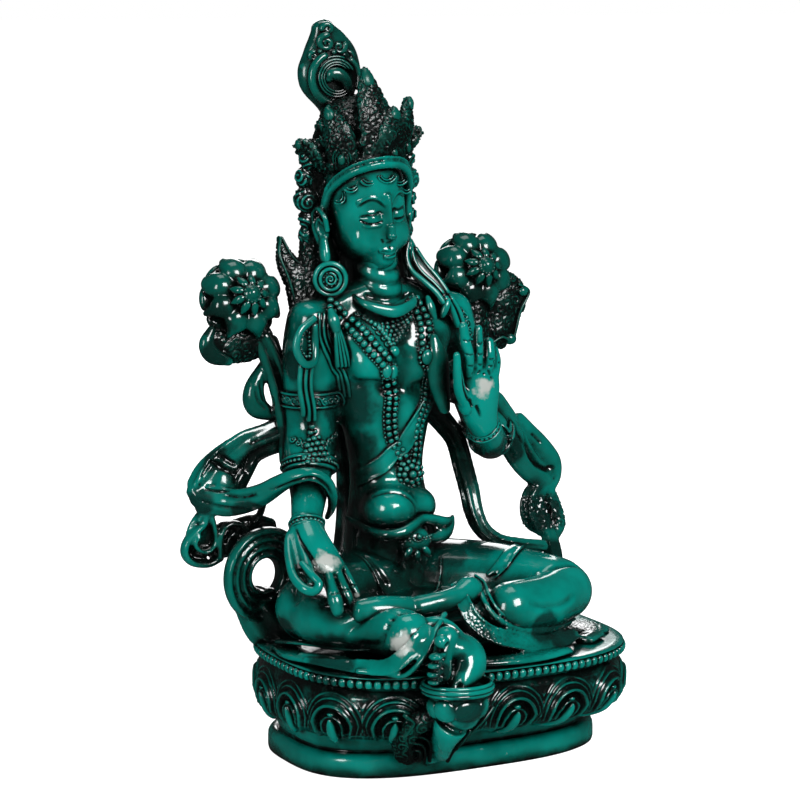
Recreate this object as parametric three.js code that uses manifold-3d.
// A seated goddess figure on an oval lotus throne, cast as one solid piece of resin.
// Millimetres, +Z up. The figure faces -Y and the origin is at the middle of the underside.
import * as THREE from 'three';
import { LoftGeometry } from 'three/addons/geometries/LoftGeometry.js';
import { mergeVertices } from 'three/addons/utils/BufferGeometryUtils.js';
import Module from 'manifold-3d';

const wasm = await Module();
wasm.setup();

// Driving sizes of the throne.
const throneHeight = 32.5;
const throneWidth = 106;
const throneDepth = 85;
const throneSquareness = 2.9;
const slabWidth = 95.4;
const slabDepth = 64;
const slabThickness = 7;
const slabSetback = 5;
const slabRounding = 2.2;
const recessDepth = 3.4;
const recessHeight = 2.4;
const petalPitch = 16.6;
const petalBulge = 5.4;
const rimHeight = 3.4;
const rimSwell = 1;
const rimSeam = 0.6;

// The figure keeps its pose and proportions: it is drawn 177.5 tall above a seat at height 32.5,
// and every length of it follows this one height.
const figureHeight = 177.5;
const drawnHeight = 177.5;
const drawnSeat = 32.5;

// The small lotus under the right foot stands on the slab and leans out past the throne's front.
const footLotusWidth = 19;
const footLotusHeight = 8.5;
const footLotusX = -19;
const footLotusReach = 5;
const footStemWidth = 7;

// How far merging small facets may move the surface, the smallest facet it may leave, and the
// cosine of the largest turn a facet may take.
const sliver = 0.2;
const smallestFacet = 1e-3;
const leastAlike = 0.5;

const scale = figureHeight / drawnHeight;
const figure = new THREE.Matrix4()
  .makeTranslation(0, 0, throneHeight - drawnSeat * scale)
  .multiply(new THREE.Matrix4().makeScale(scale, scale, scale));
const world = new THREE.Matrix4();
const alongX = new THREE.Vector3(1, 0, 0);
const alongY = new THREE.Vector3(0, 1, 0);
const alongZ = new THREE.Vector3(0, 0, 1);

// Where a point of the throne lies in the figure's drawn frame.
const fromThrone = (x, y, z) => [x / scale, y / scale, drawnSeat + (z - throneHeight) / scale];

function solid(geometry) {
  const bare = new THREE.BufferGeometry();
  bare.setAttribute('position', geometry.getAttribute('position'));
  bare.setIndex(geometry.getIndex());
  const merged = mergeVertices(bare, 1e-4);
  return new wasm.Manifold(new wasm.Mesh({
    numProp: 3,
    vertProperties: new Float32Array(merged.getAttribute('position').array),
    triVerts: new Uint32Array(merged.getIndex().array),
  }));
}

const fuse = (pieces) => pieces.reduce((whole, piece) => whole.add(piece));

// A rounded bar through stations [x, y, z, half width, half depth]. The half depth lies along
// the direction `through`, and `domes` rounds each end off, 0 being a flat cut.
function form(stations, options = {}) {
  const { frame = figure, sides = 6, rings = 3, through = alongY, domes = [1, 1] } = options;
  const route = new THREE.CatmullRomCurve3(stations.map((s) => new THREE.Vector3(s[0], s[1], s[2])));
  const sizes = new THREE.CatmullRomCurve3(
    stations.map((s) => new THREE.Vector3(s[3], s[4], 0)), false, 'catmullrom', 0.5);
  const domeAngle = THREE.MathUtils.degToRad(52);
  const sections = [];
  const section = (t, shift, shrink) => {
    const along = route.getTangent(t);
    const deep = through.clone().addScaledVector(along, -through.dot(along)).normalize();
    const wide = new THREE.Vector3().crossVectors(deep, along);
    const size = sizes.getPoint(t);
    const centre = route.getPoint(t).addScaledVector(along, shift * Math.min(size.x, size.y));
    sections.push(Array.from({ length: sides }, (_, i) => {
      const angle = (i + 0.5) / sides * 2 * Math.PI;
      return centre.clone()
        .addScaledVector(wide, shrink * size.x * Math.cos(angle))
        .addScaledVector(deep, shrink * size.y * Math.sin(angle))
        .applyMatrix4(frame);
    }));
  };
  if (domes[0] > 0) section(0, -domes[0] * Math.sin(domeAngle), Math.cos(domeAngle));
  for (let i = 0; i <= rings; i += 1) section(i / rings, 0, 1);
  if (domes[1] > 0) section(1, domes[1] * Math.sin(domeAngle), Math.cos(domeAngle));
  return solid(new LoftGeometry(sections, { capStart: true, capEnd: true }));
}

// A ball or egg with its own half sizes.
function ball(x, y, z, halfX, halfY, halfZ, options = {}) {
  const { frame = figure, around = 6, down = 4 } = options;
  const geometry = new THREE.SphereGeometry(1, around, down).rotateX(Math.PI / 2);
  geometry.scale(halfX, halfY, halfZ).translate(x, y, z).applyMatrix4(frame);
  return solid(geometry);
}

// A frame at a place of the figure, turned about Z, then tipped sideways and forward, in degrees.
function placed(x, y, z, turn = 0, lean = 0, nod = 0) {
  const angles = new THREE.Euler(...[nod, lean, turn].map(THREE.MathUtils.degToRad), 'ZYX');
  const local = new THREE.Matrix4().makeRotationFromEuler(angles).setPosition(x, y, z);
  return figure.clone().multiply(local);
}

// The throne's rounded oval outline at one level.
class Outline extends THREE.Curve {
  constructor(halfWidth, halfDepth, height, shift = 0) {
    super();
    Object.assign(this, { halfWidth, halfDepth, height, shift });
  }

  getPoint(t) {
    const angle = 2 * Math.PI * t;
    const bend = (value) => Math.sign(value) * Math.abs(value) ** (2 / throneSquareness);
    return new THREE.Vector3(this.halfWidth * bend(Math.cos(angle)),
      this.shift + this.halfDepth * bend(Math.sin(angle)), this.height);
  }

  // Evenly spaced points, each pushed outward by what `swell` says for its number.
  spots(count, swell) {
    const edge = this.getSpacedPoints(count).slice(0, count);
    return edge.map((spot, i) => {
      const before = edge.at(i - 1);
      const after = edge[(i + 1) % count];
      const outward = new THREE.Vector3(after.y - before.y, before.x - after.x, 0).normalize();
      return spot.clone().addScaledVector(outward, swell(i));
    });
  }
}

const rimHalfWidth = throneWidth / 2;
const rimHalfDepth = throneDepth / 2;
const petalFoot = slabThickness + recessHeight;
const petalTop = throneHeight - rimHeight - rimSeam;

// The throne: a rounded slab, a recess, one band of lotus petals and a rounded rim. Each petal
// takes four points of the outline: a valley, a shoulder, the crest and the other shoulder.
function throne() {
  const slabHalfWidth = slabWidth / 2;
  const slabHalfDepth = slabDepth / 2;
  const bandHalfWidth = rimHalfWidth - petalBulge;
  const bandHalfDepth = rimHalfDepth - petalBulge;
  const neck = [slabHalfWidth - recessDepth, slabHalfDepth - recessDepth, slabSetback];
  const band = (share) => neck.map((size, i) =>
    THREE.MathUtils.lerp(size, [bandHalfWidth, bandHalfDepth, 0][i], share));
  const rise = (share) => THREE.MathUtils.lerp(petalFoot, petalTop, share);
  const petalCount = Math.round(new Outline(bandHalfWidth, bandHalfDepth, 0).getLength() / petalPitch);
  const levels = [
    [0, [slabHalfWidth - slabRounding / 2, slabHalfDepth - slabRounding / 2, slabSetback], 0, 0],
    [slabRounding, [slabHalfWidth, slabHalfDepth, slabSetback], 0, 0],
    [slabThickness - slabRounding, [slabHalfWidth, slabHalfDepth, slabSetback], 0, 0],
    [slabThickness, [slabHalfWidth - slabRounding, slabHalfDepth - slabRounding, slabSetback], 0, 0],
    [petalFoot, neck, 0, 0],
    [rise(0.12), band(0.3), 0.95, 0.7],
    [rise(0.45), band(0.9), 1.15, 0.9],
    [rise(0.78), band(1), 0.85, 0.5],
    [petalTop, band(1), 0.2, 0],
    [throneHeight - rimHeight, [rimHalfWidth - rimSwell, rimHalfDepth - rimSwell, 0], 0, 0],
    [throneHeight - rimHeight / 2, [rimHalfWidth, rimHalfDepth, 0], 0, 0],
    [throneHeight, [rimHalfWidth - rimSwell, rimHalfDepth - rimSwell, 0], 0, 0],
  ];
  const sections = levels.map(([z, [halfWidth, halfDepth, shift], crest, shoulder]) => {
    const bulge = [0, shoulder, crest, shoulder].map((share) => share * petalBulge);
    return new Outline(halfWidth, halfDepth, z, shift).spots(4 * petalCount, (i) => bulge[i % 4]);
  });
  return solid(new LoftGeometry(sections, { capStart: true, capEnd: true }));
}

// The right foot's own lotus: a cup with big petals on a stem that flares onto the slab.
const cup = new THREE.Vector3(footLotusX, -rimHalfDepth - footLotusReach,
  throneHeight - footLotusHeight / 2 - rimSwell);
function footLotus() {
  const slabFront = slabSetback - slabDepth / 2;
  const bottom = cup.z - footLotusHeight / 2;
  const half = footLotusWidth / 2;
  const here = { frame: world };
  const stem = [
    [cup.x + 1, slabFront + 1, slabThickness - 2, footStemWidth * 0.75, 6],
    [cup.x + 1, slabFront - 5, (slabThickness + bottom) / 2, footStemWidth / 2, 7],
    [cup.x, cup.y + 3, bottom, half * 0.75, 7],
    [cup.x, cup.y + 1, cup.z, half, 8],
    [cup.x, cup.y + 2, cup.z + footLotusHeight / 2, half * 0.95, 7],
  ];
  const petals = [-1, 1].map((side) => ball(cup.x + side * half * 0.48, cup.y - 4.6, cup.z - 1.2,
    half * 0.46, 3.2, footLotusHeight * 0.42, here));
  const scrolls = [-1, 1].map((side) => form([
    [cup.x + side * 3, slabFront - 1, slabThickness - 1, 2.2, 3.4],
    [cup.x + side * 10, slabFront - 3, slabThickness + 4, 2.4, 3.4],
    [cup.x + side * (half + 1), slabFront - 8, slabThickness + 9, 2, 3],
  ], here));
  return [form(stem, { ...here, rings: 6, sides: 8, domes: [0, 0] }), ...petals, ...scrolls];
}

function torso() {
  return [
    form([[-4, 16, 36, 21, 16], [-6, 17, 50, 17, 13.5], [-7.5, 17, 62, 14, 11.5],
      [-8, 18.5, 78, 11.2, 9.5], [-8, 19, 97, 14.4, 10], [-8, 19, 112, 18, 10.5],
      [-8, 20, 124, 20.5, 8.5], [-8.2, 20, 131, 10, 7]], { sides: 14, rings: 12, domes: [0, 0] }),
    ball(-15, 11.5, 113.5, 7.8, 7, 7.6, { around: 8, down: 6 }),
    ball(0, 11.5, 113.5, 7.8, 7, 7.6, { around: 8, down: 6 }),
    ball(-9.5, 9, 70, 9.6, 9.4, 8.4, { around: 10, down: 6 }),
  ];
}

// The right shin comes round the front and sets its foot on the small lotus.
function legs() {
  const foot = fromThrone(cup.x, cup.y, throneHeight);
  const rest = (x, y, z, wide, deep) => [foot[0] + x, foot[1] + y, foot[2] + z, wide, deep];
  const limb = { through: alongZ, sides: 8 };
  return [
    form([[-12, 15, 47, 13, 12], [-27, 11, 46, 12, 11.5], [-41, 4, 44.5, 9, 9.6]],
      { ...limb, rings: 4 }),
    form([[4, 14, 48, 13, 11], [18, 1, 48, 12, 10.5], [29, -17, 47.6, 10, 9]],
      { ...limb, rings: 4 }),
    form([[-39.5, 4, 44, 9, 9.2], [-40, -10, 43.4, 8, 8], [-32, -22, 43.6, 7.4, 7.4],
      rest(-9, 13, 10.5, 7.6, 7.6), rest(-5, 9, 10.5, 5.4, 6), rest(0, 2, 7.5, 5, 6)],
    { ...limb, rings: 8 }),
    form([[30, -19, 47, 9, 8.6], [20, -26, 46, 8, 8], [8, -28, 45.6, 8.2, 8.4],
      [2, -28, 45.4, 7.6, 8], [0.5, -27.5, 46.4, 5, 5.4], [-6, -26, 48, 4.4, 4.8]],
    { ...limb, rings: 8 }),
    form([rest(8, 4, 4, 5, 4), rest(3, 0, 3.5, 6.4, 4.6), rest(-4, -1.5, 3, 6.6, 4),
      rest(-9, -3, 2.5, 5.6, 3)], { rings: 4 }),
    form([[-5, -26, 48, 4, 4.4], [-17, -25, 47.4, 4, 4.4], [-27, -23, 48.4, 3.6, 5],
      [-35, -19, 49.4, 2.4, 4]], { through: alongZ, rings: 4 }),
    ...[-2, -1, 0, 1, 2].map((i) =>
      form([rest(-8, -3.4, 3 - i * 2.3, 1.4, 1.6), rest(-12.6, -4.6, 2.2 - i * 2.1, 1.2, 1.3)],
        { sides: 5, rings: 1, domes: [0, 0.5] })),
  ];
}

// The trousers and robe: the cloth between the legs, the sash and the hems lying on the throne.
function clothing() {
  return [
    ball(-5, -3, 38, 29, 26, 9, { around: 12, down: 5 }),
    form([[-4, -31, 33.8, 3.5, 2], [8, -36, 33.8, 4.5, 2.2], [22, -35, 33.8, 4.5, 2.2],
      [33, -28, 33.8, 3.5, 2]], { through: alongZ, rings: 5 }),
    form([[-46, 8, 33.8, 4, 2], [-45, -12, 33.8, 4.5, 2.2], [-35, -28, 33.8, 4.5, 2.2],
      [-21, -35, 33.8, 3.5, 2]], { through: alongZ, rings: 5 }),
    form([[4, 8, 98, 3.4, 1.8], [-4, 6.5, 88, 3.4, 2.4], [-16, 9, 77, 3.2, 2.4]], { rings: 3 }),
    form([[-21, 11, 70, 2.2, 2.2], [-15, 2.6, 64.6, 2.6, 2.4], [-7, 0.6, 63.4, 2.6, 2.4],
      [9.4, 9.6, 65, 2.6, 2.4]], { rings: 6 }),
    form([[-9, 1, 60, 5.4, 3], [-8, -8, 50, 2.4, 1.8]], { rings: 1 }),
    ball(-10, -13.4, 49, 11, 7, 3.6, { around: 8 }),
  ];
}

// Each arm swells at its armlet, its jewelled elbow cuff and its bracelet.
function arms() {
  const right = [[-30, 21, 125, 8, 7.5], [-31.4, 21, 116, 8, 8], [-31.5, 21, 107, 8.4, 8.4],
    [-31.6, 21, 99, 8.6, 8.6], [-31.8, 20, 91, 8.8, 9], [-34.5, 15, 84, 8.2, 8],
    [-38, 8, 76.6, 6, 5.6], [-40.6, 3.6, 72.6, 5.8, 5.4], [-42.2, 0.6, 69.6, 4.6, 4.2]];
  const left = [[14, 20, 125, 8, 7.5], [18, 21, 115, 7.6, 8], [23, 20.4, 104, 8.4, 8.8],
    [26.4, 19, 94, 7, 7], [27, 16, 88.4, 6.6, 6.4], [21.6, 9, 88, 5.8, 5.6],
    [15, 2, 93.4, 5.6, 5.4], [12.8, -0.5, 96, 4.2, 3.8]];
  return [right, left].map((stations) => form(stations, { sides: 8, rings: 9, domes: [0.6, 0] }));
}

// Both hands join thumb and forefinger. The right one hangs open over the knee, palm out,
// and the left one is raised before the chest.
function hands() {
  const outward = new THREE.Vector3(0, -0.65, 0.75);
  const finger = (stations, through, size) => form(
    stations.map((s, i) => [...s, size * (1 - 0.09 * i), size * (1 - 0.09 * i)]),
    { through, sides: 5, rings: 2, domes: [0, 0.8] });
  return [
    form([[-42.6, 1, 70, 4.4, 3.8], [-44, -7, 65.5, 6.4, 3.6], [-43.4, -13.4, 60, 6.4, 2.8]],
      { through: outward, rings: 3 }),
    finger([[-49.4, -8, 65], [-51.6, -14, 59], [-46.4, -19, 54]], outward, 2.1),
    finger([[-48, -13, 61], [-48, -17.4, 57.5], [-45.8, -19, 53.8]], outward, 1.9),
    finger([[-44.4, -13, 60.5], [-43.6, -18, 54.5], [-43, -20.4, 48.6]], outward, 2.1),
    finger([[-41.2, -13, 60.5], [-40, -17.4, 54.8], [-39.2, -19.8, 49.8]], outward, 2),
    finger([[-38.4, -12, 61.5], [-37, -16, 56.6], [-36.2, -18, 52.8]], outward, 1.8),
    form([[12.8, -0.5, 96, 4.2, 3.4], [10, -3, 101.5, 6.2, 3.4], [8.4, -4, 107.5, 6.4, 2.4]],
      { rings: 3 }),
    finger([[5.4, -3, 100], [2, -6.6, 103], [2, -9.6, 107]], alongY, 2),
    finger([[3.4, -4, 106.6], [1, -7, 111.5], [2.2, -9.8, 108.4]], alongX, 1.8),
    finger([[6.4, -4, 106.6], [6.2, -5.6, 114], [5.8, -6.6, 119.5]], alongY, 2),
    finger([[9.8, -4, 106.6], [10, -5.2, 113.5], [10, -6.2, 118.6]], alongY, 2),
    finger([[12.8, -3.6, 105.6], [13.8, -4.4, 111], [14.2, -5, 115.6]], alongY, 1.8),
  ];
}

// The head is built upright about its own middle, with the face toward -Y, and then tipped.
const headFrame = placed(-13.4, 22.5, 158, 2, -8, 4);
function head() {
  const here = { frame: headFrame };
  const eye = (side) => ball(side * 4.6, -11, -3.4, 3.2, 1.8, 1.3, { ...here, around: 6, down: 4 });
  const ear = (side) => form([[side * 11.6, 2, 2, 2.4, 1.8], [side * 12.8, 1.6, -7, 1.8, 1.6],
    [side * 13.6, -1, -18.6, 3, 2.4]], { ...here, rings: 3, through: alongX });
  return [
    form([[0, -7, -18, 4.2, 4], [0, -5, -14.6, 7.8, 8.4], [0, -1.5, -8, 10.8, 12],
      [0, 0, 0, 11.6, 13.2], [0, 1, 9, 11.6, 13.2], [0, 2, 16, 9.4, 11]],
    { ...here, sides: 14, rings: 10, domes: [0.5, 0] }),
    form([[0, -12.4, 1, 1, 1.4], [0, -13.8, -4, 1.3, 1.6], [0, -14.6, -8, 2, 1.8]],
      { ...here, sides: 5, rings: 2 }),
    ball(0, -12.2, -12.4, 2.8, 2, 1.5, here),
    ball(0, -9.6, -15.4, 3.4, 3, 2.8, here),
    eye(-1), eye(1), ear(-1), ear(1),
    form([[-8.6, 20.5, 126, 8.4, 8], [-9.4, 20.5, 134, 6.6, 6.6], [-11, 21, 145, 6.6, 6.6]],
      { sides: 8, rings: 2, domes: [0, 0] }),
  ];
}

// The hair and crown: a combed cap, an arched band, pointed leaves and a tall knot behind.
function crown() {
  const here = { frame: headFrame };
  const leaf = (turn, width, tip) => {
    const angle = THREE.MathUtils.degToRad(turn);
    const outward = new THREE.Vector3(Math.sin(angle), -Math.cos(angle), 0);
    const foot = [outward.x * 12.6, outward.y * 12.6 + 1.5, 13];
    const middle = [outward.x * 8 + tip[0] * 0.42, outward.y * 8 + tip[1] * 0.42, 13 + (tip[2] - 13) * 0.5];
    return form([[...foot, width * 0.8, 2.4], [...middle, width, 2.4], [...tip, width * 0.3, 1.2]],
      { ...here, through: outward, rings: 4, domes: [0, 0.8] });
  };
  const curls = (side) => form([[side * 15, 3, 16, 3.4, 4], [side * 17, 3, 11, 3, 3],
    [side * 17.6, 3.6, 6, 4, 4.6], [side * 17.6, 4, 1, 2.8, 3], [side * 18.4, 4.6, -4, 3.6, 4]],
  { ...here, through: alongX, rings: 8 });
  return [
    ball(0, 4, 4, 13.6, 13, 16, { ...here, around: 10, down: 6 }),
    form([[0, 2, 10, 12.8, 13.6], [0, 3, 18, 12.6, 12.4], [-1, 3, 27, 8, 7.6]],
      { ...here, sides: 10, rings: 3, domes: [0, 0] }),
    form([[-13, 0, -8, 1.4, 1.8], [-12.4, -6, 4, 1.4, 1.8], [-8, -11.4, 11, 1.4, 1.8],
      [0, -13.6, 13.6, 1.4, 1.8], [8, -11.4, 11, 1.4, 1.8], [12.4, -6, 4, 1.4, 1.8],
      [13, 0, -8, 1.4, 1.8]], { ...here, sides: 5, rings: 12, domes: [0, 0] }),
    leaf(0, 6.4, [1.4, -4, 38]), leaf(42, 5.6, [12.6, -6, 28]), leaf(84, 4.6, [18.6, -2, 17.6]),
    leaf(-42, 5.6, [-10.4, -3, 27]), leaf(-86, 4.6, [-16.4, 3, 19]),
    curls(-1), curls(1),
    form([[-17.6, 28, 176, 4.6, 5], [-19, 28.6, 183, 5.6, 5], [-20.4, 29.5, 192, 9.4, 5],
      [-21, 30, 199, 8, 4.4], [-23, 30, 207.4, 2.6, 2.4]], { sides: 9, rings: 8, domes: [0, 0.9] }),
    ball(-20.4, 26, 190.4, 6, 2.6, 6, { around: 8 }),
  ];
}

// Earrings, collar and long necklaces.
function jewellery() {
  const strand = (stations) => form(stations.map((s) => [...s, 1.8, 1.6]),
    { sides: 4, rings: 5, domes: [0, 0] });
  const tassel = (x, y, z) => form([[x, y, z + 5, 1.8, 1.6], [x - 0.6, y + 0.3, z - 6, 3, 2]],
    { sides: 5, rings: 1 });
  return [
    ball(-26.6, 18, 136.6, 4.8, 3, 4.8, { around: 8 }),
    ball(2.4, 15, 138, 3.6, 2.2, 4.2),
    tassel(-29.4, 15.4, 128),
    tassel(5, 14, 130),
    form([[-19, 14, 130, 2, 2], [-10, 9.4, 125.4, 2.4, 2.4], [2, 13.6, 130.6, 2, 2]], { rings: 4 }),
    ball(-10.4, 8.8, 121.6, 4, 2.6, 6),
    strand([[-26.5, 13, 130], [-20, 6.4, 119], [-13.6, 5, 109], [-10, 7.2, 95], [-5, 8, 82]]),
    strand([[-1, 13, 132], [4, 7, 120], [5, 7, 104], [3.6, 8, 92], [0.4, 8.2, 82]]),
    ball(-2.4, 7.4, 79, 3.4, 2.4, 3.6),
  ];
}

// An open lotus facing front: its edge is scalloped by the petals, and a boss stands in the middle.
function flower(x, y, z, size, turn, petalCount) {
  const frame = placed(x, y, z, turn, 0, 4);
  const levels = [[4, 0.3, 0.3], [1.5, 0.96, 0.7], [-2, 1.04, 0.84], [-6, 0.62, 0.78],
    [-8, 0.36, 0.36], [-10.4, 0.16, 0.16]];
  const sections = levels.map(([depth, crest, valley]) =>
    Array.from({ length: 2 * petalCount }, (_, i) => {
      const angle = i / petalCount * Math.PI;
      const reach = size * (i % 2 ? valley : crest);
      return new THREE.Vector3(reach * Math.cos(angle), depth, reach * Math.sin(angle))
        .applyMatrix4(frame);
    }));
  return solid(new LoftGeometry(sections, { capStart: true, capEnd: true }));
}

function flowersAndStems() {
  return [
    flower(-49.4, 27, 130.7, 11, -2, 8),
    flower(26.2, 27, 134.4, 11, -2, 8),
    form([[-52, 28, 124, 5, 3.6], [-60, 27, 119, 3.6, 4], [-54, 27, 115.6, 3.6, 4],
      [-45, 28, 118, 5, 4]], { rings: 5 }),
    form([[-46, 28, 120, 4.4, 3.4], [-41.6, 27, 110, 3.6, 3], [-38.6, 24, 97, 4, 3.6],
      [-37.6, 22, 84, 4, 3.6]], { rings: 4 }),
    form([[-41, 26, 98, 2, 2], [-47.4, 27, 102.4, 3.6, 3], [-46, 27, 109, 2, 2], [-42, 27, 113, 1.6, 2]],
      { rings: 4 }),
    form([[26, 27, 126, 4, 3.4], [25, 25, 114, 4.4, 3.4], [23, 23, 104, 4, 3]]),
    form([[32, 27, 131, 4, 3], [39.6, 26, 128.6, 3, 3], [36, 27, 121, 5, 3.4],
      [32, 27, 117, 3.4, 3.4], [26, 27, 120, 5, 3.4]], { rings: 5 }),
    form([[2, 20, 142, 3, 2.4], [9, 19, 132, 3.2, 2.4], [14.6, 18, 124, 3.8, 2.6],
      [18, 14, 114, 4, 2.4]], { rings: 4 }),
    form([[-36, 31, 147.6, 1, 1], [-34.4, 30, 141, 3.6, 3], [-31, 28, 134, 5, 3.4],
      [-31, 26, 124, 4, 3]], { rings: 4 }),
    form([[-29, 26, 154, 3, 3], [-28, 28, 142, 5, 4], [-26, 27, 130, 5, 4]]),
    form([[-36, 13.6, 127, 3, 2], [-38.4, 12.4, 119, 5, 2.6], [-36, 12.6, 106, 3, 2.2]], { rings: 3 }),
  ];
}

// The scarf: a loop over the right forearm with its curled ends, and two strands on the left.
function scarves() {
  const ribbon = (stations, rings) => form(stations, { rings });
  return [
    ribbon([[-34, 25, 89, 7, 4], [-46, 27.5, 87.6, 7.4, 3.6], [-57, 28, 83, 7.6, 3.6],
      [-60.6, 26.5, 76, 6.4, 3.8], [-56, 22, 72.4, 5, 3.6], [-48, 14, 74.6, 5, 3],
      [-41, 5, 81.4, 4, 2.6], [-33, 1.6, 81.6, 3.6, 2.4], [-28, 6, 73, 2.6, 2.2],
      [-26, 11, 62, 2.2, 2.2]], 20),
    ribbon([[-61, 28, 74, 4, 2.8], [-64, 27.6, 66, 4, 3], [-64, 27.4, 60.6, 4, 3],
      [-59.4, 27, 59, 4, 3], [-56, 26.6, 64, 4, 3], [-51, 25, 66, 4, 3],
      [-47, 24, 61, 3.4, 2.8]], 12),
    ribbon([[-41, 19, 43, 4.6, 4], [-49, 21.4, 42, 5, 4.4], [-54.4, 23, 48, 4.8, 4.4],
      [-54, 23, 57, 4.6, 4.4], [-46, 21.4, 61, 4.6, 4.2], [-39.6, 19, 56, 5, 4],
      [-38.6, 18, 48, 5, 4]], 14),
    form([[-50, 22, 44, 6, 4.4], [-46, 20, 38, 8, 5], [-42, 18, 33.4, 7, 5]], { rings: 2, domes: [1, 0] }),
    ribbon([[3, 23, 98, 6, 4], [12, 21, 91, 5.6, 3.6], [18.6, 20, 80, 4.8, 3], [22.6, 18, 69, 4, 2.8],
      [26, 15, 60, 3.8, 2.8], [33, 12, 54.6, 3.4, 3], [43, 11, 53, 2.6, 2.6]], 10),
    ribbon([[26, 17, 97, 5, 4], [34, 18, 91, 5.2, 3], [42.4, 20.6, 82.6, 6.4, 3.2],
      [49, 22, 75.4, 5, 3], [48.8, 22, 67, 3, 2.6]], 7),
    ribbon([[48.6, 22, 69, 2.4, 2.4], [47.4, 22, 62, 6, 3], [50, 21, 57, 4.4, 3],
      [49, 19, 48, 3.6, 3], [47, 15, 40, 3, 3]], 6),
    form([[-8, 27, 126, 12, 4], [-8, 28, 112, 16, 5], [-8, 28, 90, 13, 5], [-7, 27, 66, 14, 6],
      [-5, 26, 44, 20, 8]], { sides: 8, rings: 5 }),
  ];
}

const pieces = [
  throne(), ...footLotus(), ...torso(), ...legs(), ...clothing(), ...arms(), ...hands(),
  ...head(), ...crown(), ...jewellery(), ...flowersAndStems(), ...scarves(),
];

// Nothing reaches below the flat underside.
function flatUnderside(body) {
  const below = new THREE.BoxGeometry(3 * throneWidth, 3 * throneDepth, throneHeight);
  return body.subtract(solid(below.translate(0, 0, -throneHeight / 2)));
}

// Takes away the slivers that joining leaves: edges are collapsed, cheapest first, as long as the
// surface stays within `tolerance` of its planes, keeps one skin and turns no facet over.
function lightened(body, tolerance) {
  const { vertProperties, triVerts } = body.getMesh();
  const points = Array.from({ length: vertProperties.length / 3 }, (_, i) =>
    new THREE.Vector3().fromArray(vertProperties, 3 * i));
  let facets = Array.from({ length: triVerts.length / 3 }, (_, i) => [...triVerts.slice(3 * i, 3 * i + 3)]);
  const planeOf = (corners) => new THREE.Plane().setFromCoplanarPoints(...corners);
  const planes = points.map(() => []);
  facets.forEach((facet) => {
    const plane = planeOf(facet.map((i) => points[i]));
    if (plane.normal.lengthSq() > 0) facet.forEach((i) => planes[i].push(plane));
  });
  const misfit = (spot, near) => near.reduce((worst, plane) =>
    Math.max(worst, Math.abs(plane.distanceToPoint(spot))), 0);

  for (let collapsed = true; collapsed;) {
    collapsed = false;
    const around = points.map(() => []);
    facets.forEach((facet) => facet.forEach((i) => around[i].push(facet)));
    const edges = facets.flatMap(([a, b, c]) => [[a, b], [b, c], [c, a]]).filter(([a, b]) => a < b)
      .map(([a, b]) => {
        const near = [...planes[a], ...planes[b]];
        const middle = points[a].clone().lerp(points[b], 0.5);
        const [cost, spot] = [points[a], points[b], middle].map((p) => [misfit(p, near), p])
          .reduce((best, next) => (next[0] < best[0] ? next : best));
        return { a, b, spot, rank: cost * tolerance + 0.001 * points[a].distanceTo(points[b]), cost };
      })
      .filter((edge) => edge.cost < tolerance)
      .sort((first, second) => first.rank - second.rank);
    const touched = new Set();
    const gone = new Set();
    edges.forEach(({ a, b, spot }) => {
      const shared = around[a].filter((facet) => facet.includes(b));
      const others = [...around[a], ...around[b]].filter((facet) => !shared.includes(facet));
      const rim = new Set(others.flat());
      if ([...rim, a, b].some((i) => touched.has(i))) return;
      const ringOf = (i) => new Set(around[i].flat().filter((j) => j !== a && j !== b));
      const ringA = ringOf(a);
      if (shared.length !== 2 || [...ringOf(b)].filter((i) => ringA.has(i)).length !== 2) return;
      const keeps = others.every((facet) => {
        const before = planeOf(facet.map((i) => points[i])).normal;
        const corners = facet.map((i) => (i === a || i === b ? spot : points[i]));
        const triangle = new THREE.Triangle(...corners);
        return triangle.getArea() > smallestFacet
          && triangle.getNormal(new THREE.Vector3()).dot(before) > leastAlike;
      });
      if (!keeps) return;
      points[a] = spot.clone();
      planes[a] = [...new Set([...planes[a], ...planes[b]])];
      shared.forEach((facet) => gone.add(facet));
      around[b].forEach((facet) => facet.splice(facet.indexOf(b), 1, a));
      [...rim, a, b].forEach((i) => touched.add(i));
      collapsed = true;
    });
    facets = facets.filter((facet) => !gone.has(facet));
  }
  const geometry = new THREE.BufferGeometry();
  geometry.setAttribute('position', new THREE.Float32BufferAttribute(
    facets.flat().flatMap((i) => points[i].toArray()), 3));
  geometry.setIndex(facets.flat().map((_, i) => i));
  return geometry;
}

function toGeometry(body) {
  const { vertProperties, triVerts } = body.getMesh();
  const geometry = new THREE.BufferGeometry();
  geometry.setAttribute('position', new THREE.BufferAttribute(vertProperties, 3));
  geometry.setIndex(new THREE.BufferAttribute(triVerts, 1));
  geometry.computeVertexNormals();
  return geometry;
}

const resin = new THREE.MeshStandardMaterial({ color: 0x00796b, roughness: 0.28, metalness: 0 });
const casting = new THREE.Mesh(toGeometry(solid(lightened(flatUnderside(fuse(pieces)), sliver))), resin);
casting.name = 'tara_figure';

const tara = new THREE.Group();
tara.add(casting);
export default tara;
